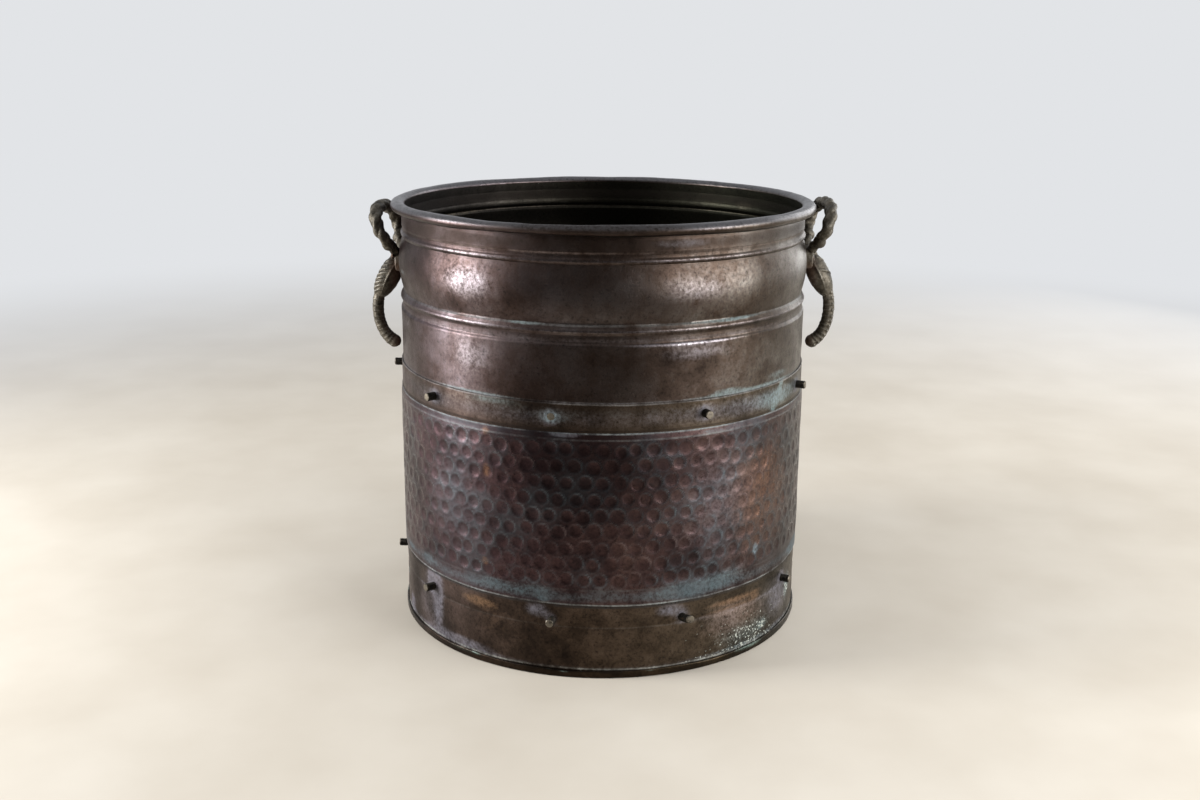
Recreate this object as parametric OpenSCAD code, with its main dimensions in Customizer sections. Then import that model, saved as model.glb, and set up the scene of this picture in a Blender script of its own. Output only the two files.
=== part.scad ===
// Round copper bucket with two cast side handles.
// Z is up, the bucket stands on Z = 0, and the handles are at +X and -X.
// All lengths are in millimetres and all angles in degrees.

/* [Body] */
// Outer radius of the lower drum
body_r = 145; // [115:1:180]
// Height of the bucket, from its floor to the top of the rolled rim
body_h = 299.5; // [240:0.5:360]
// Thickness of the body sheet
sheet_t = 0.8; // [0.6:0.1:1.2]
// Gap between two sheets, or between a fastener and its hole
fit_gap = 0.1; // [0.05:0.05:0.2]

/* [Upper shell] */
// Height over which the upper shell reaches down inside the drum
overlap_h = 18.5; // [14:0.5:26]
// Width of the rolled rim, across the wall
roll_w = 8; // [6:0.5:10]
// Height of the rolled rim
roll_h = 6; // [5:0.5:8]
// Distance that the rim stands out from the skirt
roll_out = 4.6; // [3:0.1:7]
// Depth of the neck and waist below the skirt's surface
waist_d = 2.3; // [1.5:0.1:3.5]
// Depth of the channel under the lower bead
channel_d = 1.2; // [0.8:0.1:1.5]
// Step out from the upper bead's seat to the neck
shoulder_d = 0.4; // [0.2:0.1:0.8]
// Rise of the wide bulge between the beads
bulge_rise = 2.9; // [1.5:0.1:4.5]
// Height of the bulge
bulge_h = 37; // [30:1:42]
// Rise of each narrow bead
bead_rise = 1.2; // [0.6:0.1:1.8]
// Width of each narrow bead
bead_w = 4.4; // [3:0.2:6]
// Height of the neck, between the roll and its shoulder
neck_h = 10.5; // [8:0.5:12]
// Distance from the shoulder down to the upper bead
shoulder_drop = 2.3; // [1.5:0.1:4]
// Height of the channel, from its lower edge to the middle of the lower bead
channel_h = 8.8; // [7:0.2:12]

/* [Drum and sleeve] */
// Distance from the top of the rim down to the drum's upper edge
drum_drop = 111.5; // [95:0.5:140]
// Height of the hammered sleeve's lower edge
sleeve_bottom = 51.5; // [40:0.5:60]
// Distance from the sleeve's upper edge to the drum's upper edge
sleeve_drop = 19; // [16:0.5:30]
// Height of the bevel along the sleeve's upper edge
sleeve_bevel_h = 4.5; // [2:0.5:8]
// Depth of that bevel
sleeve_bevel_d = 0.5; // [0.2:0.1:0.7]

/* [Base] */
// Thickness of the base disc
base_t = 1; // [0.8:0.1:1.5]
// Thickness of the base disc's folded edge
hem_t = 1.4; // [1:0.1:2]
// Height of the folded edge
hem_h = 5; // [4:0.5:8]

/* [Studs] */
// Number of studs in each row
stud_count = 9; // [6:1:12]
// Diameter of a stud
stud_d = 5.8; // [4:0.2:8]
// Length that a stud stands out of the wall
stud_out = 7; // [4:0.5:10]
// Height that the broken stud still stands out of the wall
stump_out = 0.5; // [0.3:0.1:1]
// Diameter of a stud's head, inside the wall
stud_head_d = 9; // [8.4:0.2:12]
// Thickness of a stud's head
stud_head_t = 1.6; // [1:0.1:2.5]
// Distance of the upper studs below the drum's upper edge
upper_stud_drop = 9; // [7:0.5:12]
// Distance of the lower studs below the sleeve's lower edge
lower_stud_drop = 11.5; // [8:0.5:16]

/* [Handles] */
// Height of the handle's foot, measured down from the top of the rim
handle_drop = 40; // [36:0.5:48]
// Length of the upper loop, along its lean
loop_h = 38.5; // [32:0.5:46]
// Half width of the loop, to the middle of its arm
loop_half_w = 25; // [20:0.5:32]
// Lean of the loop away from the wall
loop_lean = 25; // [15:1:32]
// Radius of the loop's grip
grip_r = 4.6; // [3.5:0.1:6]
// Radius of the loop's arms where they meet the foot
arm_r = 3.7; // [3:0.1:5]
// Width of the foot plate
foot_w = 32; // [28:0.5:38]
// Height of the foot plate
foot_h = 15; // [12:0.5:18]
// Thickness of the foot plate at its middle
foot_t = 4; // [3:0.1:6]
// Diameter of a handle rivet's shank
rivet_d = 4; // [3:0.1:5]
// Diameter of a handle rivet's heads
rivet_head_d = 6.4; // [5.6:0.2:8]
// Thickness of a handle rivet's heads
rivet_head_t = 1.5; // [1:0.1:2]
// Distance between a handle's two rivets
rivet_pitch = 24; // [22:0.5:28]

/* [Hidden] */
$fn = 96;
tiny = 0.01;

// Height of the drum's upper edge
drum_top = body_h - drum_drop;

// Radii of the parts that slide into one another
drum_in_r = body_r - sheet_t;
skirt_r = drum_in_r - fit_gap;
sleeve_in_r = body_r + fit_gap;
sleeve_r = sleeve_in_r + sheet_t;
sleeve_top = drum_top - sleeve_drop;
hem_in_r = body_r + fit_gap;

// Heights on the upper shell, counted down from the top of the rim
step_h = 2;
skirt_bottom = drum_top - overlap_h;
roll_z = body_h - roll_h / 2;
roll_r = skirt_r + roll_out - roll_w / 2;
neck_top = body_h - roll_h - 1.5;
shoulder_z = neck_top - neck_h;
upper_bead_z = shoulder_z - shoulder_drop - bead_w / 2;
bulge_top = upper_bead_z - bead_w / 2;
bulge_bottom = bulge_top - bulge_h;
lower_bead_z = bulge_bottom - step_h - bead_w / 2 - 0.3;
channel_bottom = lower_bead_z - channel_h;

// How far cutters and blanks reach to either side of the wall
reach = 15;

// Even places of the studs round the bucket, and how far each was set off it by hand
stud_first = -91;
stud_pitch = 360 / stud_count;
upper_stud_slip = [0, 1, -2, -2, -1.5, -1.5, 1, 4, 2];
lower_stud_slip = [3, -2, -2, -7, -7, -4, 0, 4, 4];
broken_stud = 3;

// Foot of the handle on the wall
foot_z = body_h - handle_drop;
foot_x = wall_r(foot_z) + foot_t;

STUD_NAMES = [for (row = ["upper", "lower"]) for (i = [1:stud_count]) str(row, "_stud_", i)];
HANDLE_NAMES = ["handle_right", "handle_left"];
RIVET_NAMES = [for (side = ["right", "left"]) for (end = ["front", "rear"]) str("handle_rivet_", side, "_", end)];

// ---- Outlines -------------------------------------------------------------

// 0 below a, 1 above b, and a smooth step between
function ease(z, a, b) = z <= a ? 0 : z >= b ? 1 : (1 - cos(180 * (z - a) / (b - a))) / 2;

// A narrow bead: a rounded ridge centred on height zc
function bead(z, zc) = abs(z - zc) >= bead_w / 2 ? 0 : bead_rise * cos(180 * (z - zc) / bead_w);

// The wide bulge
function bulge(z) =
    z <= bulge_bottom || z >= bulge_top ? 0 : bulge_rise * sin(180 * (z - bulge_bottom) / bulge_h);

// Outer radius of the upper shell at height z, below the roll
function wall_r(z) =
    skirt_r
    - channel_d * ease(z, channel_bottom, channel_bottom + step_h)
    - (waist_d - channel_d) * ease(z, bulge_bottom - step_h, bulge_bottom)
    + shoulder_d * ease(z, shoulder_z, shoulder_z + step_h / 2)
    + bulge(z) + bead(z, upper_bead_z) + bead(z, lower_bead_z);

// n + 1 heights, evenly spread from a to b
function spread(a, b, n) = [for (k = [0:n]) a + (b - a) * k / n];

// Heights at which the upper shell's outline has a point
wall_heights = concat(
    [skirt_bottom],
    spread(channel_bottom, channel_bottom + step_h, 4),
    spread(lower_bead_z - bead_w / 2, lower_bead_z + bead_w / 2, 8),
    spread(bulge_bottom - step_h, bulge_bottom, 4),
    spread(bulge_bottom + bulge_h / 16, bulge_top - bulge_h / 16, 14),
    spread(bulge_top, bulge_top + bead_w, 8),
    spread(shoulder_z, shoulder_z + step_h / 2, 2),
    [neck_top]
);

// Middle line of the sheet, from the skirt's lower edge to the end of the curl
curl_end = -115;
roll_line = [
    for (a = [180:-14.75:curl_end])
        [roll_r + (roll_w - sheet_t) / 2 * cos(a), roll_z + (roll_h - sheet_t) / 2 * sin(a)]
];
shell_line = concat([for (z = wall_heights) [wall_r(z) - sheet_t / 2, z]], roll_line);

// Points of a line moved sideways by d
function along(line, i) = line[min(i + 1, len(line) - 1)] - line[max(i - 1, 0)];
function moved(line, d) = [
    for (i = [0:len(line) - 1])
        let (t = along(line, i) / norm(along(line, i)))
        line[i] + d * [t[1], -t[0]]
];
function reversed(list) = [for (i = [len(list) - 1:-1:0]) list[i]];

// A sheet whose middle line is given, as a closed outline
function sheet_outline(line) = concat(moved(line, sheet_t / 2), reversed(moved(line, -sheet_t / 2)));

// ---- Sweeps ---------------------------------------------------------------

function bezier(p, t) =
    pow(1 - t, 3) * p[0] + 3 * t * pow(1 - t, 2) * p[1] + 3 * t * t * (1 - t) * p[2] + pow(t, 3) * p[3];

// Points of a chain of Bezier curves, each split into n steps
function chain(curves, n) = concat(
    [for (c = curves) for (k = [0:n - 1]) bezier(c, k / n)],
    [curves[len(curves) - 1][3]]
);

// A ring of points about c: radius a along u and b along v
function ring(c, u, v, a, b, sides) =
    [for (k = [0:sides - 1]) c + a * cos(360 * k / sides) * u + b * sin(360 * k / sides) * v];

// A closed tube through rings that all have the same number of points
module skin(rings) {
    sides = len(rings[0]);
    last = len(rings) - 1;
    points = [for (r = rings) for (p = r) p];
    walls = [
        for (i = [0:last - 1]) for (k = [0:sides - 1])
            [i * sides + k, i * sides + (k + 1) % sides,
             (i + 1) * sides + (k + 1) % sides, (i + 1) * sides + k]
    ];
    ends = [
        [for (k = [sides - 1:-1:0]) k],
        [for (k = [0:sides - 1]) last * sides + k]
    ];
    polyhedron(points, concat(walls, ends), convexity = 6);
}

// ---- Body -----------------------------------------------------------------

// Angle of stud i of a row, from the front and positive towards +X
function stud_angle(slips, i) = stud_first + (i - 1) * stud_pitch + slips[(i - 1) % len(slips)];
function stud_z(row) = row == "upper" ? drum_top - upper_stud_drop : sleeve_bottom - lower_stud_drop;
function stud_slips(row) = row == "upper" ? upper_stud_slip : lower_stud_slip;

// Places its child on a stud's axis, with +Z pointing out of the bucket
module at_stud(row, i) {
    rotate([0, 0, stud_angle(stud_slips(row), i) - 90])
        translate([0, 0, stud_z(row)])
            rotate([0, 90, 0])
                children();
}

// Holes for one row of studs
module stud_holes(row) {
    for (i = [1:stud_count])
        at_stud(row, i)
            translate([0, 0, body_r - reach])
                cylinder(d = stud_d + fit_gap, h = 2 * reach, $fn = 32);
}

// Places its child on a handle rivet's axis at the +X handle, with +Z pointing out
module at_rivet(end) {
    translate([0, end * rivet_pitch / 2, foot_z])
        rotate([0, 90, 0])
            children();
}

// Holes for the +X handle's rivets
module rivet_holes() {
    for (end = [-1, 1])
        at_rivet(end)
            translate([0, 0, body_r - reach])
                cylinder(d = rivet_d + fit_gap, h = 2 * reach, $fn = 32);
}

// Upper half of the wall in one piece: skirt, two beads, bulge, neck and rolled rim
module upper_shell() {
    color([0.36, 0.30, 0.27])
        difference() {
            rotate_extrude() polygon(sheet_outline(shell_line));
            stud_holes("upper");
            for (turn = [0, 180]) rotate([0, 0, turn])
                rivet_holes();
        }
}

// Lower half of the wall, a plain tube that the upper shell slides into
module lower_drum() {
    color([0.33, 0.28, 0.25])
        difference() {
            translate([0, 0, base_t])
                cylinder(r = body_r, h = drum_top - base_t);
            translate([0, 0, base_t - 1])
                cylinder(r = drum_in_r, h = drum_top);
            stud_holes("upper");
            stud_holes("lower");
        }
}

// Hammered sheet round the drum, with a bevelled upper margin
module hammered_sleeve() {
    color([0.38, 0.26, 0.25])
        rotate_extrude()
            polygon([
                [sleeve_in_r, sleeve_bottom],
                [sleeve_r, sleeve_bottom],
                [sleeve_r, sleeve_top - sleeve_bevel_h],
                [sleeve_r - sleeve_bevel_d, sleeve_top],
                [sleeve_in_r, sleeve_top]
            ]);
}

// Flat base whose folded edge stands up round the drum
module base_disc() {
    color([0.24, 0.22, 0.20])
        rotate_extrude()
            union() {
                square([hem_in_r + tiny, base_t]);
                translate([hem_in_r, 0])
                    square([hem_t, hem_h - hem_t / 2]);
                translate([hem_in_r + hem_t / 2, hem_h - hem_t / 2])
                    circle(d = hem_t, $fn = 24);
            }
}

// ---- Studs ----------------------------------------------------------------

// One stud: head inside, shank through the wall, and a chamfered free end
module stud(row, i) {
    wall_in_r = row == "upper" ? skirt_r - sheet_t : drum_in_r;
    sag = wall_in_r - sqrt(pow(wall_in_r, 2) - pow(stud_head_d / 2, 2));
    head_r = wall_in_r - sag - tiny;
    broken = row == "upper" && i == broken_stud;
    tip_r = body_r + (broken ? stump_out : stud_out);
    chamfer = broken ? 0.1 : 0.5;
    color([0.20, 0.19, 0.18])
        at_stud(row, i)
            rotate_extrude($fn = 48)
                polygon([
                    [0, head_r - stud_head_t],
                    [stud_head_d / 2 - 0.6, head_r - stud_head_t],
                    [stud_head_d / 2, head_r - stud_head_t + 0.6],
                    [stud_head_d / 2, head_r],
                    [stud_d / 2, head_r],
                    [stud_d / 2, tip_r - chamfer],
                    [stud_d / 2 - chamfer, tip_r],
                    [0, tip_r]
                ]);
}

// ---- Handles --------------------------------------------------------------

// Half of the loop's middle line in its own leaning plane: y across, h up the lean
loop_curves = [
    [[4, -2], [9, 0.16 * loop_h], [loop_half_w + 1, 0.3 * loop_h], [loop_half_w, 0.6 * loop_h]],
    [[loop_half_w, 0.6 * loop_h], [loop_half_w - 0.7, 0.86 * loop_h], [0.56 * loop_half_w, loop_h], [0, loop_h]]
];
curve_steps = 9;
sweep_sides = 14;
loop_half = chain(loop_curves, curve_steps);
loop_line = concat(loop_half, [for (p = reversed(loop_half)) if (p[0] > tiny) [-p[0], p[1]]]);

// The loop's foot stands just outside the wall
loop_x = foot_x - 2.5;
loop_z = foot_z + 3;
loop_up = [sin(loop_lean), 0, cos(loop_lean)];
loop_across = [cos(loop_lean), 0, -sin(loop_lean)];
function loop_point(p) = [loop_x, 0, loop_z] + [0, p[0], 0] + p[1] * loop_up;

// Radius of the loop at height h up its lean
function loop_r(h) = arm_r + (grip_r - arm_r) * ease(h, 0, loop_h);

module handle_loop() {
    line = [for (p = loop_line) loop_point(p)];
    rings = [
        for (i = [0:len(line) - 1])
            let (t = along(line, i) / norm(along(line, i)))
            let (r = loop_r(loop_line[i][1]))
            ring(line[i], loop_across, cross(loop_across, t), r, r, sweep_sides)
    ];
    skin(rings);
}

// Middle line of the leaf and tail below the foot, in the plane y = 0, as x from foot_x and z from foot_z
tail_curves = [
    [[-2, 6], [2.5, 0], [3, -6], [8, -13]],
    [[8, -13], [13, -20], [16.5, -31], [15, -43]],
    [[15, -43], [14, -52], [9.5, -61], [1.5, -63.5]]
];
tail_line = [for (p = chain(tail_curves, curve_steps)) [foot_x + p[0], 0, foot_z + p[1]]];

// Half thickness and half width of the tail at fraction s of its length
function tail_half_t(s) = 3.6 + 2.6 * exp(-pow((s - 0.16) / 0.14, 2)) + 0.8 * ease(s, 0.75, 0.95);
function tail_half_w(s) = 4.6 + 3.8 * exp(-pow((s - 0.2) / 0.15, 2));

// Share of the full section at distance d from an end that is rounded over a length n
function rounded(d, n) = d >= n ? 1 : sqrt(1 - 0.98 * pow(1 - d / n, 2));

module handle_tail() {
    last = len(tail_line) - 1;
    rings = [
        for (i = [0:last])
            let (t = along(tail_line, i) / norm(along(tail_line, i)), s = i / last)
            let (k = rounded(s, 0.06) * rounded(1 - s, 0.05))
            let (half_t = k * tail_half_t(s), half_w = k * tail_half_w(s))
            ring(tail_line[i], [-t[2], 0, t[0]], [0, 1, 0], half_t, half_w, sweep_sides)
    ];
    skin(rings);
}

// Oval plate that the loop and tail grow from, before its back is fitted to the wall
module foot_plate() {
    side = (foot_w - foot_h) / 2;
    for (end = [-1, 1])
        translate([body_r - reach, end * side, foot_z])
            rotate([0, 90, 0])
                cylinder(d = foot_h, h = foot_x - body_r + reach, $fn = 48);
    translate([body_r - reach, -side, foot_z - foot_h / 2])
        cube([foot_x - body_r + reach, 2 * side, foot_h]);
}

// Everything inside the wall's outer surface, with a small gap added
module wall_envelope() {
    outer = [for (z = wall_heights) [wall_r(z) + fit_gap, z]];
    rotate_extrude()
        polygon(concat([[0, skirt_bottom]], outer, [[0, neck_top]]));
}

// One handle in one casting, on the +X side
module handle() {
    color([0.42, 0.39, 0.31])
        difference() {
            union() {
                foot_plate();
                handle_loop();
                handle_tail();
            }
            wall_envelope();
            rivet_holes();
        }
}

// One handle rivet on the +X side: dome outside, flattened head inside
module handle_rivet(end) {
    half_span = rivet_pitch / 2 + rivet_head_d / 2;
    low_wall_r = min(wall_r(foot_z - rivet_head_d / 2), wall_r(foot_z + rivet_head_d / 2)) - sheet_t;
    inner_x = sqrt(pow(low_wall_r, 2) - pow(half_span, 2)) - tiny;
    outer_x = foot_x + tiny;
    color([0.40, 0.33, 0.24])
        at_rivet(end)
            rotate_extrude($fn = 48)
                polygon(concat(
                    [[0, inner_x - rivet_head_t], [rivet_head_d / 2 - 0.5, inner_x - rivet_head_t]],
                    [[rivet_head_d / 2, inner_x - rivet_head_t + 0.5], [rivet_head_d / 2, inner_x]],
                    [[rivet_d / 2, inner_x], [rivet_d / 2, outer_x]],
                    [for (a = [0:15:90]) [rivet_head_d / 2 * cos(a), outer_x + rivet_head_t * sin(a)]]
                ));
}

// ---- Nodes ----------------------------------------------------------------

upper_shell();
lower_drum();
hammered_sleeve();
base_disc();
for (side = [0, 1])
    rotate([0, 0, 180 * side]) handle();
for (side = [0, 1]) for (end = [0, 1])
    rotate([0, 0, 180 * side]) handle_rivet((2 * end - 1) * (side == 0 ? 1 : -1));
for (row = [0, 1]) for (i = [1:stud_count])
    stud(row == 0 ? "upper" : "lower", i);
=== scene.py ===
import math
import random

import bpy
import numpy as np
from mathutils import Matrix, Vector


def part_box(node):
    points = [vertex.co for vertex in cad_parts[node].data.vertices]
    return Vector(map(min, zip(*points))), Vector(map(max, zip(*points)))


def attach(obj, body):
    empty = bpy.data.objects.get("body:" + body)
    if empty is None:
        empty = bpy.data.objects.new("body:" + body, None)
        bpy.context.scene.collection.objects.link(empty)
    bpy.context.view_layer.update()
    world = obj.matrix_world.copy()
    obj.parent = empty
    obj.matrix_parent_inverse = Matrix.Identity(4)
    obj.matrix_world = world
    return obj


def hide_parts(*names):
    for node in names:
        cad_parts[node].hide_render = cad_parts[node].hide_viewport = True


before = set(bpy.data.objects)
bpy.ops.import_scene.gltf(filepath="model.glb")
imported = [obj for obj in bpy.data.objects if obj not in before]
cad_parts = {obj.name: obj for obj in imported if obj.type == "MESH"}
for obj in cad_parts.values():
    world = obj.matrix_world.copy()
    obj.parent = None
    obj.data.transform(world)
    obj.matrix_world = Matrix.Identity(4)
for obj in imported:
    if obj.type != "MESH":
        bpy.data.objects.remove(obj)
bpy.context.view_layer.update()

# ---- The view --------------------------------------------------------------------
# The bucket stands on a pale floor and is seen from the front, from a little above its rim.
# Soft light comes from a window on the left, from a wider one on the right, further round to the
# front, and weakly from a third behind that. The room behind the camera is dim.
MM = 0.001
TURN = math.tau / 360

# Where the camera stands, and how far it is turned aside, looks down and is tipped, in degrees
camera_place = (-0.0032, -0.9386, 0.4092)
aside, down, tip = -0.12, 15.37, 0.45
camera_data = bpy.data.cameras.new("camera")
camera_data.lens = 39.5
camera = bpy.data.objects.new("camera", camera_data)
bpy.context.scene.collection.objects.link(camera)
camera.matrix_world = (
    Matrix.Translation(camera_place)
    @ Matrix.Rotation(aside * TURN, 4, "Z")
    @ Matrix.Rotation((90 - down) * TURN, 4, "X")
    @ Matrix.Rotation(tip * TURN, 4, "Z")
)
bpy.context.scene.camera = camera
bpy.context.scene.view_settings.view_transform = "Standard"

bucket_middle = Vector((0, 0, 0.16))


def window(name, side, height, distance, width, tall, watts):
    """A soft area light that faces the bucket. side is its angle from the front, towards +X."""
    light = bpy.data.lights.new(name, "AREA")
    light.shape = "RECTANGLE"
    light.size = width
    light.size_y = tall
    light.energy = watts
    lamp = bpy.data.objects.new(name, light)
    bpy.context.scene.collection.objects.link(lamp)
    lamp.visible_camera = False
    place = Vector((distance * math.sin(side * TURN), -distance * math.cos(side * TURN), height))
    aim = bucket_middle - place
    lamp.matrix_world = Matrix.Translation(place) @ aim.to_track_quat("-Z", "Y").to_matrix().to_4x4()


window("window_left", -81, 0.42, 1.2, 0.45, 0.8, 25)
window("window_right", 60, 0.42, 1.2, 1.15, 0.75, 22)
window("window_back", 128, 0.5, 1.3, 1.1, 0.9, 8)


def paint(code):
    """The linear colour of an sRGB hex code."""
    shares = [int(code[i:i + 2], 16) / 255 for i in (0, 2, 4)]
    return [c / 12.92 if c <= 0.04045 else ((c + 0.055) / 1.055) ** 2.4 for c in shares] + [1]


def add(tree, kind, inputs=None, stops=None, output=0, **settings):
    """Adds a node and gives one of its outputs. Inputs are values or other nodes' outputs."""
    made = tree.nodes.new("ShaderNode" + kind)
    for name, value in settings.items():
        setattr(made, name, value)
    for name, value in (inputs or {}).items():
        if isinstance(value, bpy.types.NodeSocket):
            tree.links.new(value, made.inputs[name])
        else:
            made.inputs[name].default_value = value
    if stops:
        for place, _ in stops[1:-1]:
            made.color_ramp.elements.new(place)
        for element, (place, code) in zip(made.color_ramp.elements, stops):
            element.position = place
            element.color = paint(code)
    return made.outputs[output]


# A MapRange with these settings eases in and out
SOFT = {"interpolation_type": "SMOOTHSTEP"}

# The room: dim behind the camera, paler on the far side, and plain pale where the camera sees it
WALL = paint("e2e4e7")
world = bpy.data.worlds.new("room")
world.use_nodes = True
bpy.context.scene.world = world
tree = world.node_tree
tree.nodes.clear()
way = add(tree, "TexCoord", output=0)
toward = add(tree, "VectorMath", {0: way, 1: (0.3, 1, 0.8)}, operation="DOT_PRODUCT", output=1)
depth = add(tree, "MapRange", {0: toward, 1: -0.75, 2: 0.5, 3: 0.0, 4: 1.0}, **SOFT)
room = add(tree, "ValToRGB", {0: depth}, [(0.0, "2e2c2b"), (0.45, "7c7b7b"), (1.0, "d0d2d6")])
seen = add(tree, "LightPath", output=0)
colour = add(tree, "MixRGB", {0: seen, 1: room, 2: WALL})
out = tree.nodes.new("ShaderNodeOutputWorld")
tree.links.new(add(tree, "Background", {0: colour, 1: 1.0}), out.inputs[0])


def material(name, shader):
    """A new material whose surface is what shader(tree) gives."""
    made = bpy.data.materials.new(name)
    made.use_nodes = True
    made.node_tree.nodes.clear()
    out = made.node_tree.nodes.new("ShaderNodeOutputMaterial")
    made.node_tree.links.new(shader(made.node_tree), out.inputs["Surface"])
    return made


def pale_floor(tree):
    """Plain matt pale board, which the camera sees fade into the wall's colour further off."""
    place = add(tree, "TexCoord", output=3)
    far = add(tree, "VectorMath", {0: place}, operation="LENGTH", output=1)
    fade = add(tree, "MapRange", {0: far, 1: 0.5, 2: 1.7, 3: 0.0, 4: 1.0}, **SOFT)
    fade = add(tree, "Math", {0: fade, 1: add(tree, "LightPath", output=0)}, operation="MULTIPLY")
    cloud = add(tree, "TexNoise", {"Vector": place, "Scale": 9.0, "Detail": 4.0})
    board = add(tree, "ValToRGB", {0: cloud}, [(0.3, "bfb7aa"), (0.7, "c9c2b6")])
    # Seen only in reflections, the board is painted dark in front, so the bucket's reflections of it are
    # dark there: a painted dark reflection standing for the dim room
    front = add(tree, "SeparateXYZ", {0: place}, output=1)
    front = add(tree, "MapRange", {0: front, 1: -0.25, 2: -0.6, 3: 0.0, 4: 1.0}, **SOFT)
    front = add(tree, "Math", {0: front, 1: add(tree, "LightPath", output=3)}, operation="MULTIPLY")
    board = add(tree, "MixRGB", {0: front, 1: board, 2: paint("4a4642")})
    near = add(tree, "BsdfDiffuse", {0: board})
    haze = add(tree, "Emission", {0: WALL, 1: 1.0})
    return add(tree, "MixShader", {0: fade, 1: near, 2: haze})


bpy.ops.object.select_all(action="DESELECT")
bpy.ops.mesh.primitive_circle_add(vertices=96, radius=40, fill_type="NGON")
floor = bpy.context.object
floor.name = "floor"
floor.data.materials.append(material("pale_board", pale_floor))


# ---- Upper shell -----------------------------------------------------------------
# The upper half of the wall is one sheet of copper, spun over a former: a skirt, two narrow beads
# with a wide bulge between them, a neck, and a rim that is rolled outwards over itself.
# The sheet is dented and pitted, brown with age, and worn to pink where hands and cloths touch it.
low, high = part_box("upper_shell")
drum_low, drum_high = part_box("lower_drum")
SHEET = 0.8 * MM
SIDES = 288
rim_r = high.x
rim_top = high.z
skirt_r = drum_high.x - 0.9 * MM  # inside the drum's sheet, with a hair's gap
roll_w = 8 * MM
roll_h = 5.4 * MM
step_h = 2 * MM
bead_w = 4.4 * MM
bead_rise = 1.2 * MM
bulge_h = 37 * MM
bulge_rise = 2.9 * MM
waist_d = 2.3 * MM
channel_d = 1.2 * MM
neck_top = rim_top - roll_h - 1.5 * MM
shoulder_z = neck_top - 10.5 * MM
upper_bead_z = shoulder_z - 4.5 * MM
bulge_top = upper_bead_z - bead_w / 2
bulge_bottom = bulge_top - bulge_h
lower_bead_z = bulge_bottom - step_h - 2.5 * MM
channel_bottom = lower_bead_z - 8.8 * MM


def ease(z, a, b):
    """0 below a, 1 above b, and a smooth step between."""
    return 0.5 - 0.5 * math.cos(math.pi * min(max((z - a) / (b - a), 0), 1))


def wall_r(z):
    """Outer radius of the upper shell at height z, below the roll."""
    radius = skirt_r - channel_d * ease(z, channel_bottom, channel_bottom + 1.5 * MM)
    radius -= (waist_d - channel_d) * ease(z, bulge_bottom - step_h, bulge_bottom)
    radius += 0.4 * MM * ease(z, shoulder_z, shoulder_z + step_h / 2)
    if bulge_bottom < z < bulge_top:
        radius += bulge_rise * math.sin(math.pi * (z - bulge_bottom) / bulge_h)
    for bead_z in (lower_bead_z, upper_bead_z):
        if abs(z - bead_z) < bead_w / 2:
            radius += bead_rise * math.cos(math.pi * (z - bead_z) / bead_w)
    return radius


def raise_sheet(name, line, sides, capped=False):
    """Raises a round sheet from a circle, ring by ring. line holds each ring's radius and height."""
    bpy.ops.object.select_all(action="DESELECT")
    bpy.ops.mesh.primitive_circle_add(vertices=sides, radius=line[0][0], location=(0, 0, line[0][1]))
    piece = bpy.context.object
    piece.name = piece.data.name = name
    bpy.ops.object.transform_apply()
    bpy.ops.object.mode_set(mode="EDIT")
    if capped:
        bpy.ops.mesh.edge_face_add()
        bpy.ops.mesh.select_mode(type="EDGE")
        bpy.ops.mesh.select_all(action="SELECT")
    for (r0, z0), (r1, z1) in zip(line, line[1:]):
        bpy.ops.mesh.extrude_edges_move(TRANSFORM_OT_translate={"value": (0, 0, z1 - z0)})
        bpy.ops.transform.resize(value=(r1 / r0, r1 / r0, 1), center_override=(0, 0, z1))
    if capped:
        bpy.ops.mesh.edge_face_add()
    bpy.ops.mesh.select_all(action="SELECT")
    bpy.ops.mesh.normals_make_consistent(inside=False)
    bpy.ops.object.mode_set(mode="OBJECT")
    # An open sheet can come out inside out
    side = piece.data.polygons[sides + 1 if capped else 0]
    if not capped and side.normal.dot(side.center * Vector((1, 1, 0))) < 0:
        bpy.ops.object.mode_set(mode="EDIT")
        bpy.ops.mesh.flip_normals()
        bpy.ops.object.mode_set(mode="OBJECT")
    return piece


def finish_with(piece, kind, **settings):
    """Adds a modifier and applies it."""
    modifier = piece.modifiers.new(kind.lower(), kind)
    for name, value in settings.items():
        setattr(modifier, name, value)
    bpy.ops.object.select_all(action="DESELECT")
    bpy.context.view_layer.objects.active = piece
    piece.select_set(True)
    bpy.ops.object.modifier_apply(modifier=modifier.name)


def hand_dents(piece, way=1, group=""):
    """Shallow dents over a sheet, or over a group of its points. Sheets that touch are dented alike."""
    for size, depth in ((60 * MM, 1.3 * MM), (20 * MM, 0.4 * MM)):
        cloud = bpy.data.textures.new("dents", "CLOUDS")
        cloud.noise_scale = size
        cloud.noise_depth = 1
        finish_with(piece, "DISPLACE", texture=cloud, texture_coords="LOCAL", strength=way * depth,
                    mid_level=0.5, vertex_group=group)


def points(piece):
    """The piece's points as an array, with their angle from the front and their radius."""
    place = np.empty(len(piece.data.vertices) * 3, np.float32)
    piece.data.vertices.foreach_get("co", place)
    place = place.reshape(-1, 3)
    return place, np.degrees(np.arctan2(place[:, 0], -place[:, 1])), np.hypot(place[:, 0], place[:, 1])


def set_points(piece, place):
    """Puts moved points back into the piece."""
    piece.data.vertices.foreach_set("co", place.astype(np.float32).ravel())
    piece.data.update()


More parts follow.
